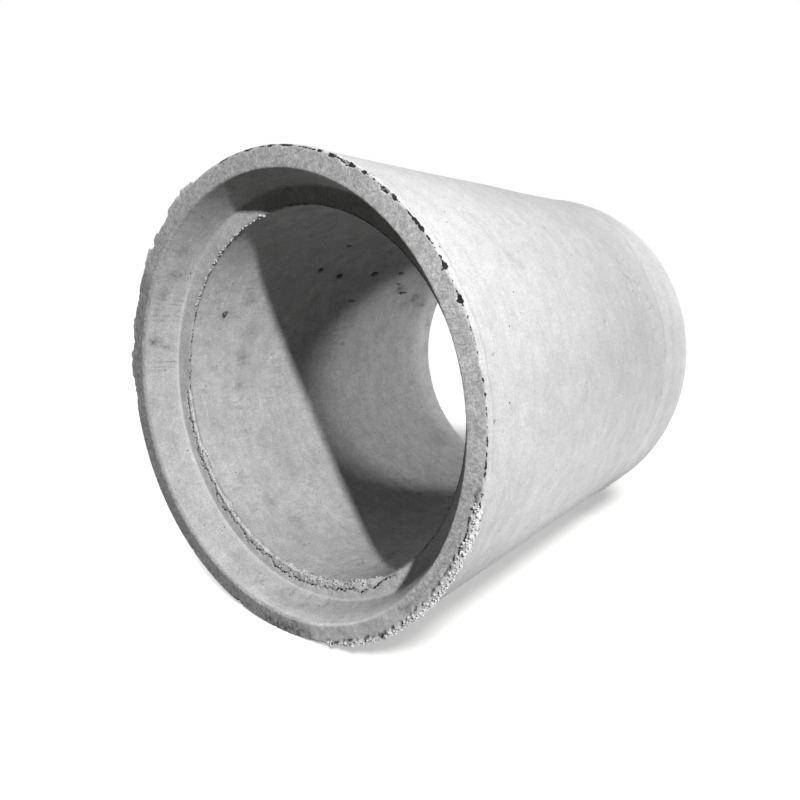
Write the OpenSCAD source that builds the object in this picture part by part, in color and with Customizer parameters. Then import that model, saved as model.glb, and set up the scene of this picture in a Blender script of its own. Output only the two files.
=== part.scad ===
// Concrete manhole riser, lying on its side.
// One casting: a straight shaft with a drafted socket in one end and a plain flat other end.
// The shaft's axis runs along Y, the socket faces -Y, and the ground is at Z = 0.

/* [Shaft] */
// Clear diameter of the bore
bore_d = 1000; // [700:10:1500]
// Thickness of the wall at either end
wall = 120; // [100:5:200]
// Overall length, from the lip of the socket to the plain end
length = 1450; // [700:10:2500]

/* [Socket] */
// Width of the lip that is left around the mouth of the socket
lip = 49; // [35:1:55]
// Depth of the socket, from the lip to the foot of its wall
socket_depth = 110; // [60:1:150]
// How far the socket wall leans in from the mouth to its foot
socket_draft = 25; // [10:1:30]
// How much deeper the shoulder lies at the bore than at the socket wall
shoulder_fall = 5; // [1:1:15]
// Radius of the cove where the socket wall meets the shoulder
cove_r = 5; // [3:1:15]

/* [Outside] */
// How far the outside leans in between the lip and the fold
waist = 6; // [2:1:10]
// Length over which the fold swells out again
fold = 100; // [30:5:200]
// Length of the straight band between the fold and the plain end
band = 110; // [50:5:300]

/* [Arrises] */
// Rounding of the lip's outer edge
lip_arris_r = 4; // [2:1:8]
// Rounding of the socket's mouth
mouth_arris_r = 4; // [2:1:8]
// Rounding of the bore's edge on the shoulder
bore_arris_r = 5; // [2:1:8]
// Rounding of both edges of the plain end
plain_arris_r = 5; // [2:1:8]

/* [Hidden] */
$fn = 180;

// Angle of the line from point a to point b
function heading(a, b) = atan2(b[1] - a[1], b[0] - a[0]);
// Unit vector at an angle
function toward(angle) = [cos(angle), sin(angle)];

// Points of the wall's section, with the radius first and then the distance from the lip
bore_r = bore_d / 2;
outer_r = bore_r + wall;
lip_corner = [outer_r, 0];
waist_corner = [outer_r - waist, length - band - fold];
band_corner = [outer_r, length - band];
plain_outer_corner = [outer_r, length];
plain_bore_corner = [bore_r, length];
mouth_corner = [outer_r - lip, 0];
foot_corner = mouth_corner + [-socket_draft, socket_depth];
shoulder_corner = [bore_r, socket_depth + shoulder_fall];

// Directions of the section's slanting edges
outside_lean = heading(lip_corner, waist_corner);
socket_lean = heading(mouth_corner, foot_corner);
shoulder_lean = heading(shoulder_corner, foot_corner);

// The socket's cut runs past the faces that it opens by this much
overrun = 20;
// A rounding's circle is this much larger than its radius, so that it meets its faces at a clear angle
blend = 0.05;
// A corner piece reaches past its corner by this share of its size, so that it never ends on a face
reach_share = 0.25;

// What lies between a rounding of radius r and the corner that it takes the place of.
// The corner's edges leave it at the angles from and to, counted counter-clockwise.
module corner_piece(corner, from, to, r) {
    half_angle = (to - from) / 2;
    tangent = r / tan(half_angle);
    centre = corner + r / sin(half_angle) * toward((from + to) / 2);
    ends = [corner + tangent * toward(from), corner, corner + tangent * toward(to)];
    difference() {
        polygon(concat([centre], [for (end = ends) end + reach_share * (end - centre)]));
        translate(centre) circle(r + blend);
    }
}

// Section of the socket's hollow: its drafted wall, the cove at its foot and the falling shoulder
module socket_hollow() {
    past_lip = overrun / sin(socket_lean);
    past_bore = overrun / cos(shoulder_lean);
    difference() {
        polygon([
            [bore_r - overrun, -overrun],
            mouth_corner - past_lip * toward(socket_lean),
            foot_corner,
            shoulder_corner - past_bore * toward(shoulder_lean)
        ]);
        corner_piece(foot_corner, shoulder_lean + 180, socket_lean + 180, cove_r);
    }
}

// Section of the wall, which is turned about the shaft's axis
module wall_section() {
    difference() {
        polygon([
            [bore_r, 0],
            lip_corner,
            waist_corner,
            band_corner,
            plain_outer_corner,
            plain_bore_corner
        ]);
        socket_hollow();
        corner_piece(lip_corner, outside_lean, 180, lip_arris_r);
        corner_piece(mouth_corner, 0, socket_lean, mouth_arris_r);
        corner_piece(shoulder_corner, shoulder_lean, 90, bore_arris_r);
        corner_piece(plain_outer_corner, 180, 270, plain_arris_r);
        corner_piece(plain_bore_corner, 270, 360, plain_arris_r);
    }
}

// The riser ring: cast concrete, turned about its axis and laid on its side
module riser_ring() {
    color("gainsboro")
        translate([0, -length / 2, outer_r])
            rotate([-90, 0, 0])
                rotate_extrude()
                    wall_section();
}

riser_ring();
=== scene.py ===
import math
import random

import bmesh
import bpy
import numpy as np
from mathutils import Matrix, Vector, noise


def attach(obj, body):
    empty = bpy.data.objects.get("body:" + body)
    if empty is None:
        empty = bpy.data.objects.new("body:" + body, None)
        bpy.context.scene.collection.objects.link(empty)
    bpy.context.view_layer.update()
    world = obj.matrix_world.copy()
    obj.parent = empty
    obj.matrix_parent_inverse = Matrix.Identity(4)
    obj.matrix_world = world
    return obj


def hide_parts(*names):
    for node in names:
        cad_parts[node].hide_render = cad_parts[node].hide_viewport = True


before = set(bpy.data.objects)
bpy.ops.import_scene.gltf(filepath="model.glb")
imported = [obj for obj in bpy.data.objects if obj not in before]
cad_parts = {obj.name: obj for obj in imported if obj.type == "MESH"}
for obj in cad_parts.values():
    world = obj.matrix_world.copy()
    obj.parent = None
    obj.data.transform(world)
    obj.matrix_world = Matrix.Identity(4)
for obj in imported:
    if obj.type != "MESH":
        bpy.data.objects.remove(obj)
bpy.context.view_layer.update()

# Riser ring: a manhole shaft ring with a socket at its front end, cast in one piece from dry grey concrete
# between a steel mould and core. Mortar squeezed past the mould rings has set as ragged crumbs on the
# arrises, handling has chipped the lip, and the far end was struck off by hand and has slumped a little.
bore_radius, outer_radius, length = 0.500, 0.620, 1.450
lip_width, socket_depth, socket_draft, shoulder_fall = 0.049, 0.110, 0.025, 0.005
waist, fold_start, fold_end = 0.006, 1.240, 1.340
arris, cove, end_arris = 0.004, 0.005, 0.005
fine_band, slump_start = 0.045, 1.100
front_steps, rear_steps = 720, 240
outside_join, bore_join, join_gap = 0.200, 0.330, 0.040
mouth_radius = outer_radius - lip_width
foot_radius = mouth_radius - socket_draft
shoulder_depth = socket_depth + shoulder_fall


def outside_at(from_lip):
    """Radius of the cast outside, which leans in a little from the lip to the slumped band."""
    return outer_radius - waist * from_lip / fold_start


def turned_wall(bm, stations, steps, spacing):
    """Turns a line of (radius, distance from lip, rounding) stations about the shaft's axis."""
    corners = [bm.verts.new((radius, from_lip, 0.0)) for radius, from_lip, rounding in stations]
    for near, far in zip(corners, corners[1:]):
        bm.edges.new((near, far))
    for corner, (radius, from_lip, rounding) in zip(corners, stations):
        if rounding:
            bmesh.ops.bevel(bm, geom=[corner], offset=rounding, offset_type="OFFSET", segments=4,
                            profile=0.5, material=-1, affect="VERTICES")
    for edge in [e for e in bm.edges if e.is_wire]:
        cuts = round(edge.calc_length() / spacing((edge.verts[0].co + edge.verts[1].co) / 2)) - 1
        if cuts > 0:
            bmesh.ops.subdivide_edges(bm, edges=[edge], cuts=cuts)
    line = [e for e in bm.edges if e.is_wire]
    ends = [v for v in bm.verts if v.is_wire]
    before = set(bm.faces)
    bmesh.ops.spin(bm, geom=ends + line, cent=(0, 0, 0), axis=(0, 1, 0), dvec=(0, 0, 0),
                   angle=math.pi / 2, steps=steps // 4)
    quarter = [f for f in bm.faces if f not in before]
    for turns in (1, 2, 3):
        copied = bmesh.ops.duplicate(bm, geom=quarter)["geom"]
        bmesh.ops.rotate(bm, verts=[v for v in copied if isinstance(v, bmesh.types.BMVert)], cent=(0, 0, 0),
                         matrix=Matrix.Rotation(turns * math.pi / 2, 3, "Y"))
    bmesh.ops.remove_doubles(bm, verts=bm.verts, dist=1e-5)


def front_spacing(place):
    """Mesh spacing of the front wall, close at the lip and the bore's edge and wider behind them."""
    if place.y > shoulder_depth + fine_band or (place.x > mouth_radius and place.y > fine_band):
        return 0.020
    return 0.009 if foot_radius < place.x < mouth_radius and place.y < socket_depth else 0.004


def rear_spacing(place):
    """Mesh spacing of the rear wall, closer on the outside and the end where the concrete slumped."""
    return 0.012 if place.x > bore_radius and place.y > slump_start else 0.030


# the front is cut fine for its worn edges, the rear coarser, and a band of faces joins the two
ring = bmesh.new()
turned_wall(ring, [
    (outside_at(outside_join), outside_join, 0), (outside_at(fine_band), fine_band, 0),
    (outer_radius, 0, arris), (mouth_radius, 0, arris), (foot_radius, socket_depth, cove),
    (bore_radius, shoulder_depth, end_arris), (bore_radius, shoulder_depth + fine_band, 0),
    (bore_radius, bore_join, 0),
], front_steps, front_spacing)
turned_wall(ring, [
    (bore_radius, bore_join + join_gap, 0), (bore_radius, length, end_arris),
    (outer_radius, length, end_arris), (outer_radius, fold_end, 0), (outside_at(fold_start), fold_start, 0),
    (outside_at(slump_start), slump_start, 0),
    (outside_at(outside_join + join_gap), outside_join + join_gap, 0),
], rear_steps, rear_spacing)
for inner in (True, False):
    rims = [e for e in ring.edges if e.is_boundary and (e.verts[0].co.xz.length < foot_radius) == inner]
    bmesh.ops.bridge_loops(ring, edges=rims)

# blowholes that air left against the core and the mould:
# angle, distance from lip, length along, width round and depth, in degrees and millimetres
bore_holes = [
    (155, 235, 24, 23, 5), (122, 617, 34, 12, 7), (136, 580, 28, 17, 9), (139, 694, 32, 19, 10),
    (138, 884, 42, 22, 11), (138, 1050, 32, 17, 9), (144, 1075, 46, 9, 8), (149, 1140, 60, 14, 8),
    (152, 833, 40, 12, 7), (-106, 867, 26, 10, 6), (-132, 640, 14, 8, 5), (60, 480, 18, 11, 7),
    (20, 900, 22, 12, 8), (-40, 700, 16, 10, 6),
]
outside_holes = [
    (17, 60, 9, 7, 5), (5, 30, 9, 8, 5), (-12, 480, 9, 8, 5), (20, 700, 9, 7, 4),
    (-24, 820, 11, 8, 5), (48, 640, 10, 8, 4), (120, 420, 12, 9, 5), (165, 860, 12, 10, 5),
    (-150, 520, 12, 9, 5), (98, 980, 10, 8, 4), (140, 1120, 12, 8, 5),
]
# the mesh is made finer round the blowholes and along the seen side of the crease by the fold; edges are
# listed in order and once each, so that every run numbers the new points alike
hole_margin, shortest_edge = 0.012, 0.005
crease_reach, seen_turn, seen_spread = 0.09, 15, 45
ring_faces = list(ring.faces)
middles = np.array([f.calc_center_median() for f in ring_faces])
holed = np.zeros(len(ring_faces), bool)
for hole_radius, holes in ((bore_radius, bore_holes), (outer_radius, outside_holes)):
    for turn, place, long_way, wide_way, depth in holes:
        turn = math.radians(turn)
        middle = (hole_radius * math.cos(turn), place / 1000, hole_radius * math.sin(turn))
        holed |= np.linalg.norm(middles - middle, axis=1) < 0.001 * long_way + hole_margin
hole_edges = dict.fromkeys(e for face, near in zip(ring_faces, holed) if near
                           for e in face.edges if e.calc_length() > shortest_edge)
turned = np.degrees(np.arctan2(middles[:, 2], middles[:, 0]))
creased = np.hypot(middles[:, 0], middles[:, 2]) > mouth_radius
creased &= (np.abs(turned - seen_turn) < seen_spread) & (np.abs(middles[:, 1] - fold_start) < crease_reach)
crease_edges = dict.fromkeys(e for face, near in zip(ring_faces, creased) if near for e in face.edges)
for finer, cuts in ((hole_edges, 3), (crease_edges, 1)):
    bmesh.ops.subdivide_edges(ring, edges=list(finer), cuts=cuts, use_grid_fill=True)
bmesh.ops.triangulate(ring, faces=[f for f in ring.faces if len(f.verts) > 4])
bmesh.ops.recalc_face_normals(ring, faces=ring.faces)

# from here on the wall is worked in millimetres and degrees; a mark that runs round the ring wavers with
# the rim at its angle, and one in patches with its own place
outer_mm, bore_mm = 1000 * outer_radius, 1000 * bore_radius
points = np.array([v.co for v in ring.verts]) * 1000
radius, from_lip = np.hypot(points[:, 0], points[:, 2]), points[:, 1].copy()
angle = np.degrees(np.arctan2(points[:, 2], points[:, 0]))
wall_places = [Vector(p) for p in points]
rim_places = [Vector((outer_mm * math.cos(turn), 0, outer_mm * math.sin(turn)))
              for turn in np.radians(angle)]


def waver(size, seed, places=wall_places):
    """Smooth unevenness of about -1 to 1, with humps of that many millimetres."""
    shift = Vector((31.7, 17.3, 5.9)) * seed
    return np.array([noise.noise(p / size + shift) for p in places])


def lumps(size, seed):
    """Rounded grains of that many millimetres, 1 at the middle of a grain and about 0 between grains."""
    shift = Vector((13.1, 7.7, 23.3)) * seed
    return np.array([1 - noise.voronoi(p / size + shift)[0][0] for p in wall_places])


def fade(values, low, high):
    """0 below low, 1 above high, and a smooth step between."""
    share = np.clip((values - low) / (high - low), 0, 1)
    return share * share * (3 - 2 * share)


def arc(first, last, soft):
    """Share of a mark that reaches round the ring between two angles and fades over so many degrees."""
    away = np.abs((angle - (first + last) / 2 + 180) % 360 - 180)
    return fade((last - first) / 2 - away, -soft / 2, soft / 2)


def degrees_from(turn):
    """Degrees round the ring from an angle, -180 to 180."""
    return (angle - turn + 180) % 360 - 180


def way_round(turn, at_radius):
    """Millimetres round the ring from an angle, at a radius."""
    return degrees_from(turn) * math.pi / 180 * at_radius


# the face that each point is on, told apart just past the rounded arrises
lip_stop, shoulder_start, bore_start, end_start = 4.5, 104, 117, 1446
outside = (radius > 600) & (from_lip > 3) & (from_lip < end_start)
lip_face = (from_lip < lip_stop) & (radius > 568)
socket_wall = (from_lip >= lip_stop) & (from_lip < 106) & (radius < 600)
shoulder = (from_lip > shoulder_start) & (from_lip < bore_start) & (radius < 547)
bore = (radius < 502) & (from_lip > bore_start)
end_face = from_lip > end_start
push_out, push_along = np.zeros(len(points)), np.zeros(len(points))
# dark marks: real stains together with painted shade in hollows and along edges; pale marks: crumbs of mortar
# together with painted highlights
stains_and_shade, crumbs_and_highlights = np.zeros(len(points)), np.zeros(len(points))
broad, close, fine = waver(240, 1), waver(60, 2), waver(11, 3)
grains = lumps(8, 4)

# the walls are not quite true: shallow waves from the mould, the core and the trowel
push_out += outside * (1.6 * broad + 0.8 * close) + bore * (1.2 * broad + 0.5 * close)
push_out += socket_wall * (0.7 * close + 0.2 * fine)
push_along += lip_face * (0.7 * close + 0.9 * fine) + shoulder * 0.6 * fine
push_along += end_face * (1.2 * close + 0.8 * fine)

# slumped band at the far end: its crease wanders round the ring, dips, then swells out
crease = 1215 + 55 * waver(420, 7, rim_places) + 22 * waver(120, 8, rim_places) + 190 * arc(52, 135, 50)
past = from_lip - crease
slumped = outside & (from_lip > 900)
straight = outer_mm - 1000 * waist * np.minimum(from_lip / (1000 * fold_start), 1) - radius
groove = np.exp(-(past / 16) ** 2) * (0.5 + 1.0 * np.clip(waver(90, 9), -0.4, 1))
swelling = 6.5 - 5.0 * arc(52, 130, 40)
dents = np.clip(waver(28, 32), 0, 1) * fade(120 - np.abs(past), 0, 60)
crease_line = np.exp(-((past + 14 * waver(44, 39) + 8 * waver(18, 42)) / 8) ** 2)
crease_line *= fade(waver(50, 43), -0.3, 0.2)
slump = swelling * fade(past, 0, 60) - 4.0 * groove - 1.5 * crease_line + 1.5 * dents
push_out += np.where(slumped, straight + slump, 0)
# the groove and the crease line are also darkened in patches, as painted shade with some dirt
stains_and_shade += slumped * (0.08 * groove + 0.16 * crease_line) * fade(waver(130, 10), -0.45, 0.15)

# hairline crazing in front of the crease, and a long scratch from a sling; the scratch is kept as 2 plus the
# way off it as a share of its reach, so that 0 means no scratch
scratch_reach = 60
crazed = outside * np.exp(-(degrees_from(30) / 18) ** 2 - ((from_lip - 1060) / 180) ** 2)
scratch = way_round(6.5 + 1.5 * (from_lip - 145) / 790, 617)
scratched = outside & (from_lip > 130) & (from_lip < 950)
scratch_off = np.where(scratched, 2 + np.clip(scratch / scratch_reach, -1, 1), 0)

# a faint raised band just behind the lip, where mortar crept between the mould's end ring and its shell
seam = from_lip - 20 - 6 * waver(90, 11, rim_places) - 22 * arc(54, 64, 8)
push_out += outside * (1.8 * np.exp(-(seam / 4) ** 2) + 1.0 * (1 - fade(seam, -3, 3)))
# a faint dark line just behind the band's edge is painted shade
stains_and_shade += outside * 0.05 * np.exp(-((seam - 4) / 4) ** 2) * arc(0, 80, 20)

# the lip's outer arris: chips by listed angle, length and depth, and nibbles all the way round
off_arris = np.hypot(from_lip, outer_mm - radius)
bite = np.zeros(len(points))
chips = [
    (98, 26, 3), (94, 30, 3), (91, 14, 2), (87, 20, 3), (82, 30, 3), (77.5, 30, 1), (72.7, 16, 3),
    (69.2, 26, 5), (64.8, 40, 9), (60.3, 14, 3), (54.2, 26, 7), (51.8, 22, 3), (45, 14, 3), (43.2, 24, 3),
    (34.6, 14, 8), (28.2, 18, 7), (25, 20, 1), (-5, 16, 3), (-8.5, 12, 4), (104, 70, 3), (130, 34, 4),
    (138.3, 20, 6), (155, 60, 5), (167, 20, 5), (-177, 70, 6), (-128, 14, 4), (-106, 34, 7), (-92, 18, 5),
]
for turn, chip_length, depth in chips:
    along = way_round(turn, outer_mm) / (chip_length / 2)
    bite = np.maximum(bite, depth * np.sqrt(np.clip(1 - along ** 2, 0, 1)))
nibbles = 8 * np.clip(waver(17, 13, rim_places) - 0.22, 0, 1) * (1 - 0.7 * arc(-20, 108, 8))
bite = bite * (1 + 0.9 * waver(10, 12)) + nibbles
cut = np.clip(1.2 * bite - off_arris, 0, None)
push_out -= 0.75 * cut
push_along += 0.65 * cut
# the chips' hollows are darkened, more on the upper right: painted shade, with some dirt
upper_right = arc(15, 105, 12)
stains_and_shade += 0.6 * fade(cut, 2.0, 6.0) * upper_right + 0.4 * fade(cut, 1.0, 5.0) * (1 - upper_right)
# a thin dark line along the arris from the right round over the top, wider at the chips, is painted shade on
# the rounded edge
crack_and_shade_line = arc(-14, 106, 6) * (from_lip < 9) * np.clip(1 - (off_arris - bite - 0.3) / 10, 0, 1)
crack_and_shade_line *= 0.86 + 0.14 * fade(waver(24, 27, rim_places), -0.3, 0.2)

# pale flakes of skin that lifted behind the arris, with painted shadow in the gap under two of them
flaked = outside * arc(33, 73, 6) * fade(11 - from_lip + 9 * waver(22, 40, rim_places), 0, 3)
push_out += 1.6 * flaked * (0.6 + waver(9, 41))
crumbs_and_highlights = np.maximum(crumbs_and_highlights, 0.5 * flaked)
behind = np.where(outside, np.abs(from_lip - 12 - 4 * waver(40, 33, rim_places)), 99)
crack_and_shade_line = np.maximum(crack_and_shade_line, 0.9 * (arc(55, 60, 1) + arc(46, 51, 1)) * np.clip(1 - behind / 10, 0, 1))

# ragged burr of mortar standing off the arris, up the left side: angle, reach to each side and height
plates = [
    (119, 3.5, 10), (124.5, 3, 9), (135.7, 1.2, 7), (141.2, 1.4, 12), (143.2, 1.2, 6), (148, 4, 3),
    (162, 1.5, 7), (164, 1.0, 4), (171, 1.0, 13), (174, 3.5, 10),
]
burr = np.zeros(len(points))
for turn, reach, height in plates:
    burr = np.maximum(burr, height * fade(reach - np.abs(degrees_from(turn)), -0.5, 0.5))
burr = np.clip(burr * (1 + 0.5 * waver(16, 14, rim_places)), 0, 14)
burr *= (1 - fade(from_lip, 3, 11)) * fade(radius, 611, 618)
push_out += burr
push_along += 0.40 * burr * np.clip(waver(12, 28), -0.3, 1)
crumbs_and_highlights = np.maximum(crumbs_and_highlights, 0.40 * fade(burr, 1, 5))
stains_and_shade += 0.30 * fade(burr, 1, 4) * fade(waver(11, 15, rim_places), 0.0, 0.3)

# crust of crumbly mortar over the arris, down the right side
ragged = 5 * waver(16, 29, rim_places) + 4 * waver(34, 30, rim_places)
crust_edge = 607 + 8 * arc(-80, -47, 10) + ragged
crust = arc(-72, -12, 8) * (1.0 + 0.6 * waver(38, 17, rim_places))
crust = np.clip(crust, 0, 1) * (1 - fade(from_lip, 8, 15)) * fade(radius - crust_edge, -1, 3)
push_out += crust * 4 * fade(radius, 610, 619)
push_along -= crust * 3 * lip_face
# dark pits along the crust's inner edge on the lip: sunk, and darkened as the painted shadow of the crust's
# overhang
pit = arc(-72, -7, 8) * lip_face * np.exp(-((radius - crust_edge) / 3.5) ** 2)
pit *= fade(waver(11, 26), -0.1, 0.15)
push_along += 5 * pit
stains_and_shade += 0.95 * pit
crumbs_and_highlights = np.maximum(crumbs_and_highlights, fade(crust, 0.1, 0.4) * (1 - pit))

# skin of mortar torn off the lip in plates, low on the right
torn = arc(-88, -22, 20) * lip_face * fade(close + 0.55 * waver(24, 18), -0.02, 0.06)
push_along += 1.2 * torn
# one torn plate's edge: a sunk step, with painted shade along it
tear = radius - 591 - 9 * waver(34, 34, rim_places)
push_along += 2.5 * arc(-46, -13, 3) * lip_face * fade(tear, -2, 2)
stains_and_shade += 0.32 * arc(-46, -13, 3) * lip_face * np.exp(-(tear / 3.5) ** 2) * fade(waver(30, 35), -0.3, 0.1)
scored = arc(-80, -42, 10) * lip_face * np.clip(waver(8, 19, rim_places), 0, 1)
push_along += 0.6 * scored
stains_and_shade += 0.06 * scored
crumbs_and_highlights = np.maximum(crumbs_and_highlights, 0.45 * arc(-80, -44, 12) * lip_face * (1 - pit))

# a pale line painted in the cove at the foot of the socket wall as a highlight, on the side that faces the
# light
foot_off = np.hypot(from_lip - 109, radius - 546)
crumbs_and_highlights = np.maximum(crumbs_and_highlights, 0.55 * np.exp(-(foot_off / 4) ** 2) * arc(150, 308, 10))

# dark clotted mortar under the lip's darker side, at the bottom
dirt = arc(-96, -78, 3) * lip_face * fade(radius, 590, 604) * fade(waver(9, 36), -0.15, 0.15)
push_along += 1.5 * dirt
stains_and_shade += 0.40 * dirt

# bead of mortar left on the edge of the bore, heavy low on the left, with a crack along its shoulder side
off_edge = np.hypot(from_lip - 1000 * shoulder_depth, radius - bore_mm)
bead = arc(-178, -58, 6) * (6 + 6 * arc(-122, -66, 40)) * (0.9 + 0.8 * waver(34, 20, rim_places))
bead += 3 * arc(98, 150, 10) * (0.6 + 1.1 * waver(12, 21, rim_places))
bead += 9 * np.exp(-(degrees_from(-155) / 2) ** 2) + 8 * np.exp(-(degrees_from(-133.5) / 2) ** 2)
bead += 5 * np.exp(-(degrees_from(-98) / 5) ** 2) + 7 * np.exp(-(degrees_from(-68) / 3) ** 2)
bead = np.clip(bead, 0, 17)
swell = bead * (1 - fade(off_edge, 2, 6 + 0.9 * bead)) * np.clip(0.40 + 0.85 * grains, 0.2, 1)
push_out -= 0.75 * swell
push_along -= 0.50 * swell
crumbs_and_highlights = np.maximum(crumbs_and_highlights, fade(swell, 0.6, 2.2) * (0.55 + 0.45 * arc(-178, -58, 6)))
# a soft dark line at the bead's foot on the bore side is painted shade
bead_foot = np.exp(-((from_lip - 119 - 0.9 * bead) / 3.5) ** 2) * bore * arc(-178, -52, 8)
stains_and_shade += 0.22 * bead_foot * fade(waver(40, 37, rim_places), -0.4, 0.1)
crack_radius = 507 + 1.1 * bead + 10 * waver(28, 23, rim_places) + 7 * waver(13, 24, rim_places)
crack_off = np.where(arc(-178, -52, 8) > 0.5, np.abs(radius - crack_radius), 99)
for turn, lean in ((-158, 0.12), (-149, -0.15), (-141, 0.16), (-131.5, -0.18), (-121, 0.15), (-112, -0.2),
                   (-97, 0.1)):
    branch = np.abs(way_round(turn + lean * (radius - 512), 520))
    crack_off = np.minimum(crack_off, np.where((radius > 508) & (radius < 531), branch, 99))
split = np.where(shoulder, np.clip(1 - crack_off / 10, 0, 1), 0)
push_along += 3.5 * fade(split, 0.6, 0.9)
# a dark line on the bore just inside its edge from the top round the left, and a dark line along the edge
# itself all round, darkest from the lower right over the top
inner_line = np.where(bore, np.abs(from_lip - 121 - 3 * waver(25, 31, rim_places)), 99)
split = np.maximum(split, 0.93 * arc(96, 184, 4) * np.clip(1 - inner_line / 10, 0, 1))
crack_and_shade_line = np.maximum(crack_and_shade_line, split)
edge_line = np.exp(-((from_lip - 122) / 3.5) ** 2) * bore + np.exp(-((radius - 502) / 2.5) ** 2) * shoulder
stains_and_shade += np.minimum(edge_line, 1) * (0.35 + 0.5 * arc(-52, 96, 8)) * (1 - fade(crumbs_and_highlights, 0.3, 0.7))

# the hollows of the blowholes, with painted shade inside and a stain round each
for hole_radius, into_wall, holes in ((bore_mm, 1, bore_holes), (outer_mm, -1, outside_holes)):
    for turn, place, long_way, wide_way, depth in holes:
        across = way_round(turn, hole_radius) / (wide_way / 2)
        down = (from_lip - place) / (long_way / 2)
        near = np.abs(radius - hole_radius) < 12
        hollow = near * np.clip(1 - across ** 2 - down ** 2 + 0.3 * fine, 0, 1)
        push_out += into_wall * depth * np.sqrt(hollow)
        stains_and_shade += min(0.1 * depth, 0.9) * fade(hollow, 0.0, 0.4)
        stains_and_shade += near * 0.22 * np.exp(-(across ** 2 + down ** 2) / 5) * fade(close + fine, -0.2, 0.3)

# the lip face is darker round its left side to the bottom and a little on its lower right; stained places
# are smudges on the socket wall and in the bore by angle, distance from lip, size round, size along and
# strength, then four spots outside and brush strokes in the socket
stains_and_shade += 0.34 * arc(146, 280, 8) * lip_face * (1 - fade(crumbs_and_highlights, 0.2, 0.6))
stains_and_shade += 0.07 * arc(-62, 18, 20) * lip_face
smudges = [
    (166, 40, 26, 40, 0.55), (168, 70, 14, 22, 0.48), (143, 60, 50, 60, 0.34), (-160, 60, 60, 50, 0.15),
    (150, 40, 40, 30, 0.30), (135, 50, 60, 40, 0.28), (150, 320, 40, 40, 0.34), (162, 357, 60, 54, 0.38),
    (155, 235, 22, 20, 0.45), (172, 333, 70, 50, 0.34), (-177, 310, 60, 40, 0.22),
    (-139, 420, 110, 60, 0.24), (-154, 373, 70, 40, 0.15), (-108, 244, 130, 40, 0.18),
    (-92, 234, 70, 24, 0.20), (152, 1244, 60, 70, 0.45), (156, 1186, 40, 50, 0.40),
    (155, 1319, 40, 60, 0.40), (146, 1103, 50, 70, 0.35), (-129, 270, 70, 34, 0.30),
    (-117, 300, 110, 40, 0.32), (167, 1066, 70, 90, 0.16), (180, 887, 90, 90, 0.10),
    (-144, 1251, 70, 90, 0.16), (-130, 1294, 70, 90, 0.20), (95, 184, 70, 34, 0.30),
    (99, 316, 70, 60, 0.20),
]
for turn, place, round_size, along_size, strength in smudges:
    across = way_round(turn, 520) / (round_size / 2)
    down = (from_lip - place) / (along_size / 2)
    stains_and_shade += (bore | socket_wall) * strength * np.exp(-across ** 2 - down ** 2) * (1 + 1.2 * fine)
for turn, place, strength in ((36, 319, 0.16), (37.3, 305, 0.20), (35, 334, 0.20), (54, 262, 0.06)):
    across = way_round(turn, outer_mm) / 14
    stains_and_shade += outside * strength * np.exp(-across ** 2 - ((from_lip - place) / 13) ** 2)
dashes = fade(waver(22, 38), -0.25, 0.15)
for turn in (152.0, 153.5, 155.5, 157.5, 159.0, 172.5, 174.0, 175.2):
    stains_and_shade += socket_wall * 0.30 * np.exp(-(degrees_from(turn) / 0.3) ** 2) * fade(from_lip, 10, 30) * dashes

# a pale line painted along the far end's arris as a highlight
crumbs_and_highlights = np.maximum(crumbs_and_highlights, 0.6 * outside * np.exp(-((from_lip - 1442) / 6) ** 2) * arc(-75, 60, 20))

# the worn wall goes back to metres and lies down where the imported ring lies
radius, from_lip = radius + push_out, from_lip + push_along
turn = np.radians(angle)
placed = np.stack([radius * np.cos(turn), from_lip - length * 500, radius * np.sin(turn) + outer_mm],
                  axis=1) / 1000
for vert, place in zip(ring.verts, placed):
    vert.co = place
bmesh.ops.recalc_face_normals(ring, faces=ring.faces)
for face in ring.faces:
    face.smooth = True
riser_mesh = bpy.data.meshes.new("riser_ring_cast")
ring.to_mesh(riser_mesh)
ring.free()
for name, values in (("stains_and_shade", np.clip(stains_and_shade, 0, 1)), ("crumbs_and_highlights", np.clip(crumbs_and_highlights, 0, 1)),
                     ("outside", 1.0 * outside), ("lip", 1.0 * lip_face), ("crack_and_shade_line", crack_and_shade_line),
                     ("crazed", crazed), ("scratch", scratch_off)):
    riser_mesh.attributes.new(name, "FLOAT", "POINT").data.foreach_set("value", values.astype(np.float32))
riser = bpy.data.objects.new("riser_ring_cast", riser_mesh)
bpy.context.scene.collection.objects.link(riser)


def linear(hex_colour):
    """An sRGB hex colour as linear red, green, blue and alpha."""
    parts = [int(hex_colour[i:i + 2], 16) / 255 for i in (1, 3, 5)]
    return tuple(p / 12.92 if p <= 0.04045 else ((p + 0.055) / 1.055) ** 2.4 for p in parts) + (1.0,)


def node(tree, kind, links=None, **settings):
    """Adds a node with its settings, and gives each named socket a value or a link."""
    made = tree.nodes.new(kind)
    for name, value in settings.items():
        setattr(made, name, value)
    for socket, value in (links or {}).items():
        if isinstance(value, bpy.types.NodeSocket):
            tree.links.new(value, made.inputs[socket])
        else:
            made.inputs[socket].default_value = value
    return made


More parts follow.
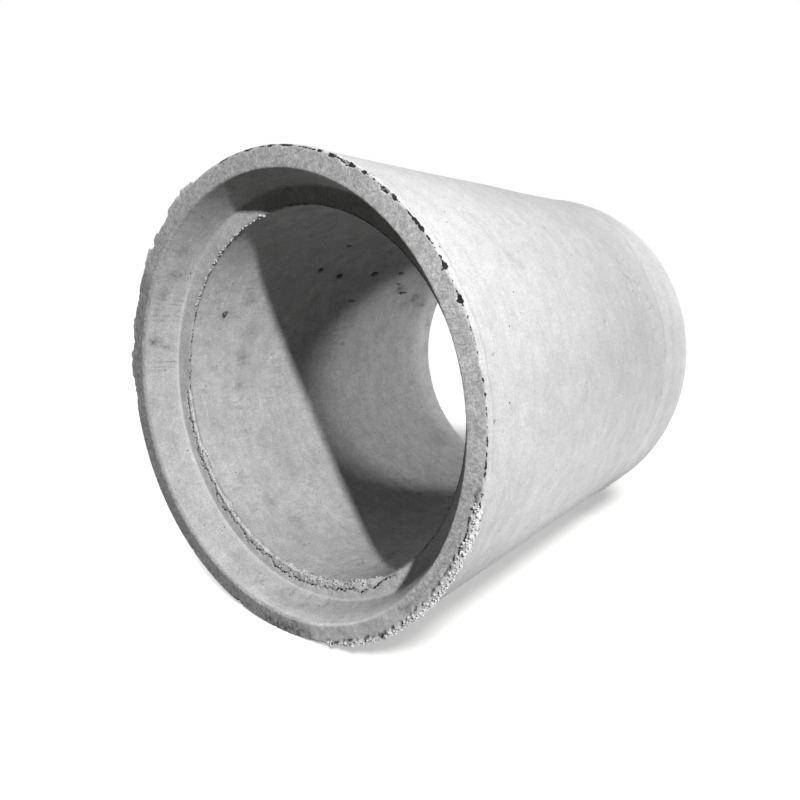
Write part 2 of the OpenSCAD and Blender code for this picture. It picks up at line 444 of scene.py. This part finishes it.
# dry-cast concrete: a pale cement skin, a little greyer on the mould side, with sand that shows as fine
# light and dark specks, pinholes, rubbed streaks, cloudy stains and, inside, dark scuffs; dull all over
concrete = bpy.data.materials.new("dry_cast_concrete")
concrete.use_nodes = True
tree = concrete.node_tree
shader = tree.nodes["Principled BSDF"]
place = node(tree, "ShaderNodeTexCoord").outputs["Object"]
masks = {name: node(tree, "ShaderNodeAttribute", attribute_name=name).outputs["Fac"]
         for name in ("stains_and_shade", "crumbs_and_highlights", "outside", "lip", "crack_and_shade_line", "crazed", "scratch")}
clouds, blots, mottle, coarse, sand = (
    node(tree, "ShaderNodeTexNoise", {"Vector": place, "Scale": 1 / size, "Detail": detail,
                                      "Roughness": rough})
    for size, detail, rough in ((0.160, 6, 0.60), (0.045, 5, 0.65), (0.014, 3, 0.70), (0.008, 2, 0.80),
                                (0.005, 3, 0.70)))
rubbed = node(tree, "ShaderNodeMapping", {"Vector": place, "Scale": (1 / 0.25, 1 / 0.012, 1 / 0.25)})
streaks = node(tree, "ShaderNodeTexNoise", {"Vector": rubbed.outputs[0], "Scale": 1, "Detail": 4})
pores = node(tree, "ShaderNodeTexVoronoi", {"Vector": place, "Scale": 1 / 0.026, "Randomness": 1.0})
pore_size = node(tree, "ShaderNodeMapRange", {"Value": pores.outputs["Distance"], "From Min": 0.05,
                                               "From Max": 0.11, "To Min": 1.0, "To Max": 0.0})
pore_some = node(tree, "ShaderNodeMath", {0: pores.outputs["Color"], 1: 0.72}, operation="GREATER_THAN")
pore = node(tree, "ShaderNodeMath", {0: pore_size.outputs[0], 1: pore_some.outputs[0]},
            operation="MULTIPLY")
struck = node(tree, "ShaderNodeMix", {"Factor": masks["lip"], 6: linear("#C2C2C2"), 7: linear("#BEBEBE")},
              data_type="RGBA")
skin = node(tree, "ShaderNodeMix", {"Factor": masks["outside"], 6: struck.outputs[2], 7: linear("#B8B8B8")},
            data_type="RGBA")
tone = 1.0
for pattern, darkest, palest in ((clouds, 0.88, 1.08), (blots, 0.86, 1.10), (streaks, 0.95, 1.04),
                                 (mottle, 0.93, 1.07), (sand, 0.76, 1.21)):
    shade = node(tree, "ShaderNodeMapRange", {"Value": pattern.outputs["Fac"], "From Min": 0.30,
                                              "From Max": 0.70, "To Min": darkest, "To Max": palest})
    tone = node(tree, "ShaderNodeMath", {0: tone, 1: shade.outputs[0]}, operation="MULTIPLY").outputs[0]
# the lip was struck off and shows coarser grit, and the mould side is smoother and more even
coarse_grit = node(tree, "ShaderNodeMapRange", {"Value": coarse.outputs["Fac"], "From Min": 0.32,
                                                "From Max": 0.68, "To Min": 0.70, "To Max": 1.20})
open_grit = node(tree, "ShaderNodeMix", {"Factor": masks["lip"], 2: 1.0, 3: coarse_grit.outputs[0]})
tone = node(tree, "ShaderNodeMath", {0: tone, 1: open_grit.outputs[0]}, operation="MULTIPLY").outputs[0]
even = node(tree, "ShaderNodeMath", {0: tone, 1: 0.65, 2: 0.35}, operation="MULTIPLY_ADD")
tone = node(tree, "ShaderNodeMix", {"Factor": masks["outside"], 2: tone, 3: even.outputs[0]}).outputs[0]
toned = node(tree, "ShaderNodeVectorMath", {0: skin.outputs[2], 3: tone}, operation="SCALE")
# cracks and the painted shade lines have ragged sides, and the crazing shows as broken hairlines between
# cells of dried skin
jagged = node(tree, "ShaderNodeTexNoise", {"Vector": place, "Scale": 1 / 0.008, "Detail": 2})
crack_near = node(tree, "ShaderNodeMath", {0: jagged.outputs["Fac"], 1: 0.9, 2: masks["crack_and_shade_line"]},
                  operation="MULTIPLY_ADD")
cracks_and_shade_lines = node(tree, "ShaderNodeMapRange", {"Value": crack_near.outputs[0], "From Min": 1.20,
                                            "From Max": 1.32})
wrinkle = node(tree, "ShaderNodeTexNoise", {"Vector": place, "Scale": 1 / 0.025, "Detail": 2})
wrinkled = node(tree, "ShaderNodeVectorMath", {0: wrinkle.outputs["Color"], 1: (0.035, 0.035, 0.035),
                                               2: place}, operation="MULTIPLY_ADD")
cells = node(tree, "ShaderNodeTexVoronoi", {"Vector": wrinkled.outputs[0], "Scale": 1 / 0.06},
             feature="DISTANCE_TO_EDGE")
hairline = node(tree, "ShaderNodeMapRange", {"Value": cells.outputs["Distance"], "From Min": 0.02,
                                             "From Max": 0.07, "To Min": 0.34, "To Max": 0.0})
patchy = node(tree, "ShaderNodeMapRange", {"Value": blots.outputs["Fac"], "From Min": 0.45,
                                           "From Max": 0.6})
broken = node(tree, "ShaderNodeMath", {0: hairline.outputs[0], 1: patchy.outputs[0]}, operation="MULTIPLY")
crazing = node(tree, "ShaderNodeMath", {0: broken.outputs[0], 1: masks["crazed"]}, operation="MULTIPLY")
# stains and painted shade are stronger and weaker in patches, and the scuffs gather in patches on the inside
# alone
rubbed_off = node(tree, "ShaderNodeMapRange", {"Value": mottle.outputs["Fac"], "From Min": 0.35,
                                               "From Max": 0.65, "To Min": 0.5, "To Max": 1.5})
stain_and_shade_dark = node(tree, "ShaderNodeMath", {0: masks["stains_and_shade"], 1: rubbed_off.outputs[0]}, operation="MULTIPLY")
dragged = node(tree, "ShaderNodeMapping", {"Vector": place, "Scale": (1 / 0.030, 1 / 0.060, 1 / 0.018)})
scuff = node(tree, "ShaderNodeTexNoise", {"Vector": dragged.outputs[0], "Scale": 1, "Detail": 5,
                                          "Distortion": 0.8})
scuffed = node(tree, "ShaderNodeMapRange", {"Value": scuff.outputs["Fac"], "From Min": 0.52,
                                            "From Max": 0.72, "To Min": 0.0, "To Max": 0.33})
gathered = node(tree, "ShaderNodeMapRange", {"Value": clouds.outputs["Fac"], "From Min": 0.46,
                                             "From Max": 0.60})
inside = node(tree, "ShaderNodeMath", {0: gathered.outputs[0], 1: masks["outside"]}, operation="SUBTRACT")
inside_scuff = node(tree, "ShaderNodeMath", {0: scuffed.outputs[0], 1: inside.outputs[0]},
                    operation="MULTIPLY")
dark_share = pore.outputs[0]
for share in (stain_and_shade_dark.outputs[0], crazing.outputs[0], inside_scuff.outputs[0]):
    dark_share = node(tree, "ShaderNodeMath", {0: dark_share, 1: share}, operation="MAXIMUM").outputs[0]
# the scratch is under a millimetre wide and is drawn about two millimetres wide, to show at all
bent = node(tree, "ShaderNodeMath", {0: clouds.outputs["Fac"], 1: 0.3, 2: masks["scratch"]},
            operation="MULTIPLY_ADD")
on_line = node(tree, "ShaderNodeMath", {0: bent.outputs[0], 1: 2.15, 2: 0.016}, operation="COMPARE")
worn = node(tree, "ShaderNodeMath", {0: on_line.outputs[0], 1: patchy.outputs[0]}, operation="MULTIPLY")
faint = node(tree, "ShaderNodeMath", {0: worn.outputs[0], 1: 0.14}, operation="MULTIPLY")
# crumbs and painted highlights are pale, the scratch is paler still, stains and painted shade are dark,
# and cracks and painted shade lines are the darkest
colour = toned.outputs[0]
for share, paint in ((masks["crumbs_and_highlights"], "#D8D8D8"), (faint.outputs[0], "#F0F0F0"), (dark_share, "#3E3E3E"),
                     (cracks_and_shade_lines.outputs[0], "#262626")):
    colour = node(tree, "ShaderNodeMix", {"Factor": share, 6: colour, 7: linear(paint)},
                  data_type="RGBA").outputs[2]
tree.links.new(colour, shader.inputs["Base Color"])
height = node(tree, "ShaderNodeMath", {0: sand.outputs["Fac"], 1: blots.outputs["Fac"]}, operation="ADD")
pitted = node(tree, "ShaderNodeMath", {0: height.outputs[0], 1: pore.outputs[0]}, operation="SUBTRACT")
relief = node(tree, "ShaderNodeBump", {"Height": pitted.outputs[0], "Strength": 0.5, "Distance": 0.003})
tree.links.new(relief.outputs[0], shader.inputs["Normal"])
shader.inputs["Roughness"].default_value = 0.92
shader.inputs["Specular IOR Level"].default_value = 0.12
riser_mesh.materials.append(concrete)
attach(riser, "root")
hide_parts("riser_ring")

# Mortar crumbs: grains and clots of mortar that squeezed past the mould rings and set where they hung, on
# the lip's outer arris and round the edge of the bore. They are the ring's own concrete and grow out of it,
# and a string of grains hangs at the upper left of the bore. Each grain is a ball of 12 points, a clot of 42.
grain_points, clot_points, clot_stain = 12, 42, 0.08
dice = random.Random(11)
clots = bmesh.new()
clot_grime = []
strung = (off_edge < 2.5) & (arc(98, 152, 4) > 0.5)
spots = np.flatnonzero(((crumbs_and_highlights > 0.6) & ((off_arris < 11) | (off_edge < 30))) | strung)
for spot in sorted(spots, key=lambda spot: tuple(points[spot].round(2))):
    on_bead = off_edge[spot] < 30 and not strung[spot]
    if dice.random() > (0.85 if strung[spot] else 0.50 + 0.5 * close[spot] if on_bead else 0.75):
        continue
    size = (0.0017 if strung[spot] else 0.0013) + 0.0022 * dice.random() ** 2
    grain_stain = 0.85 if dice.random() < 0.04 else dice.uniform(0.0, 0.35) + 0.10 * on_bead
    clot_grime += grain_points * [grain_stain]
    vert = riser_mesh.vertices[int(spot)]
    jitter = Vector([dice.uniform(-0.003, 0.003) for axis in "xyz"])
    stretch = Matrix.Diagonal([dice.uniform(0.7, 1.3) for axis in "xyz"] + [1])
    tumble = Matrix.Rotation(dice.uniform(0, 6.28), 4, Vector([dice.uniform(-1, 1) for axis in "xyz"]))
    seat = Matrix.Translation(vert.co + 0.35 * size * vert.normal + jitter)
    bmesh.ops.create_icosphere(clots, subdivisions=1, radius=size, matrix=seat @ tumble @ stretch)
# the larger clots on the bead, by angle, distance from lip and radius, and how far they sit from the axis
blobs = [
    (-155, 119, 7), (-153.8, 122, 5), (-156.2, 117, 5), (-133.5, 119, 6), (-132.3, 118, 5),
    (-134.7, 117, 4), (-98, 117, 6), (-92, 118, 5),
]
blob_radius = 0.491
for turn, place, size in blobs:
    turn = math.radians(turn)
    middle = Vector((blob_radius * math.cos(turn), place / 1000 - length / 2,
                     blob_radius * math.sin(turn) + outer_radius))
    clot_grime += clot_points * [clot_stain]
    bmesh.ops.create_icosphere(clots, subdivisions=2, radius=size / 1000, matrix=Matrix.Translation(middle))
mortar_mesh = bpy.data.meshes.new("mortar_crumbs")
clots.to_mesh(mortar_mesh)
clots.free()
for name, values in (("crumbs_and_highlights", np.ones(len(clot_grime))), ("stains_and_shade", np.array(clot_grime))):
    mortar_mesh.attributes.new(name, "FLOAT", "POINT").data.foreach_set("value", values.astype(np.float32))
mortar_mesh.materials.append(concrete)
mortar = bpy.data.objects.new("mortar_crumbs", mortar_mesh)
bpy.context.scene.collection.objects.link(mortar)
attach(mortar, "root")

# Studio: a white paper floor and backdrop. The key, side, card and top lamps stand on the right and above,
# the fill on the left, and the back one shines in through the far opening. They are linked to the ring alone,
# and one more lamp to the floor alone, so that it stays white and keeps the ring's shadow.
floor_mesh = bpy.data.meshes.new("studio_floor")
sheet = bmesh.new()
bmesh.ops.create_grid(sheet, x_segments=1, y_segments=1, size=40)
sheet.to_mesh(floor_mesh)
sheet.free()
floor = bpy.data.objects.new("studio_floor", floor_mesh)
bpy.context.scene.collection.objects.link(floor)


def seen_as_background(tree):
    """1 for rays from the camera, off a mirror or through glass, which all show the white background."""
    ray = node(tree, "ShaderNodeLightPath").outputs
    mirrored = node(tree, "ShaderNodeMath", {0: ray["Is Camera Ray"], 1: ray["Is Glossy Ray"]},
                    operation="MAXIMUM")
    return node(tree, "ShaderNodeMath", {0: mirrored.outputs[0], 1: ray["Is Transmission Ray"]},
                operation="MAXIMUM").outputs[0]


# matt white paper: bright where it is seen, and dark to bounced light, so that it throws little back
paper = bpy.data.materials.new("white_paper_floor")
paper.use_nodes = True
tree = paper.node_tree
glow = node(tree, "ShaderNodeEmission", {"Color": (1, 1, 1, 1), "Strength": 0.43})
bright_face = node(tree, "ShaderNodeBsdfDiffuse", {"Color": linear("#F4F4F2")})
bright = node(tree, "ShaderNodeAddShader", {0: glow.outputs[0], 1: bright_face.outputs[0]})
paper_face = tree.nodes["Principled BSDF"]
paper_face.inputs["Base Color"].default_value = linear("#484846")
paper_face.inputs["Roughness"].default_value = 1.0
paper_face.inputs["Specular IOR Level"].default_value = 0.0
shown = node(tree, "ShaderNodeMixShader", {0: seen_as_background(tree), 1: paper_face.outputs[0],
                                           2: bright.outputs[0]})
tree.links.new(shown.outputs[0], tree.nodes["Material Output"].inputs["Surface"])
floor_mesh.materials.append(paper)

world = bpy.data.worlds.new("studio")
bpy.context.scene.world = world
world.use_nodes = True
tree = world.node_tree
brightness = node(tree, "ShaderNodeMapRange", {"Value": seen_as_background(tree), "To Min": 0.035,
                                               "To Max": 1.0})
tree.links.new(brightness.outputs[0], tree.nodes["Background"].inputs["Strength"])
tree.nodes["Background"].inputs["Color"].default_value = (1, 1, 1, 1)

lip_middle, far_middle = Vector((0, -length / 2, outer_radius)), Vector((0, length / 2, outer_radius))
on_ring, on_floor = bpy.data.collections.new("lit_ring"), bpy.data.collections.new("lit_floor")
on_ring.objects.link(riser)
on_ring.objects.link(mortar)
on_floor.objects.link(floor)
for name, kind, aim, toward, distance, lights, settings in (
    ("key", "AREA", lip_middle, (0.772, -0.446, 0.454), 4.0, on_ring,
     {"energy": 212, "shape": "DISK", "size": 0.15}),
    ("side", "SUN", lip_middle, (0.90, 0.10, 0.0), 6.0, on_ring, {"energy": 1.0, "angle": math.radians(6)}),
    ("card", "AREA", Vector((0.5, 0.1, 0.26)), (0.94, 0.0, -0.34), 0.5, on_ring,
     {"energy": 4.0, "shape": "RECTANGLE", "size": 1.6, "size_y": 0.2}),
    ("top", "SUN", lip_middle, (-0.20, 0.0, 0.97), 6.0, on_ring, {"energy": 2.0, "angle": math.radians(6)}),
    ("fill", "SUN", lip_middle, (-0.98, -0.09, 0.15), 6.0, on_ring,
     {"energy": 1.3, "angle": math.radians(10)}),
    ("floor_light", "SUN", lip_middle, (0.45, -0.55, 0.69), 6.0, on_floor,
     {"energy": 3.0, "angle": math.radians(12)}),
    ("back", "SPOT", far_middle, (0.788, 0.532, 0.309), 3.0, on_ring,
     {"energy": 275, "shadow_soft_size": 0.28, "spot_size": math.radians(24), "spot_blend": 0.5}),
):
    lamp = bpy.data.lights.new(name, kind)
    for setting, value in settings.items():
        setattr(lamp, setting, value)
    stand = bpy.data.objects.new(name, lamp)
    stand.location = aim + distance * Vector(toward).normalized()
    stand.rotation_euler = Vector(toward).to_track_quat("Z", "Y").to_euler()
    stand.light_linking.receiver_collection = lights
    stand.visible_camera = False
    bpy.context.scene.collection.objects.link(stand)

# Camera: a phone's main lens, held at chest height in front of the socket end and to its right. Its place
# and shift were fitted to the edges of both ends.
lens = bpy.data.cameras.new("camera")
lens.lens = 29.448
lens.sensor_width = 36
lens.shift_x, lens.shift_y = 0.0375, 0.0614
camera = bpy.data.objects.new("camera", lens)
camera.location = (1.2217, -1.8322, 0.9566)
camera.rotation_euler = (math.radians(75.0), 0, math.radians(39.05))
bpy.context.scene.collection.objects.link(camera)
bpy.context.scene.camera = camera
bpy.context.scene.view_settings.view_transform = "Standard"
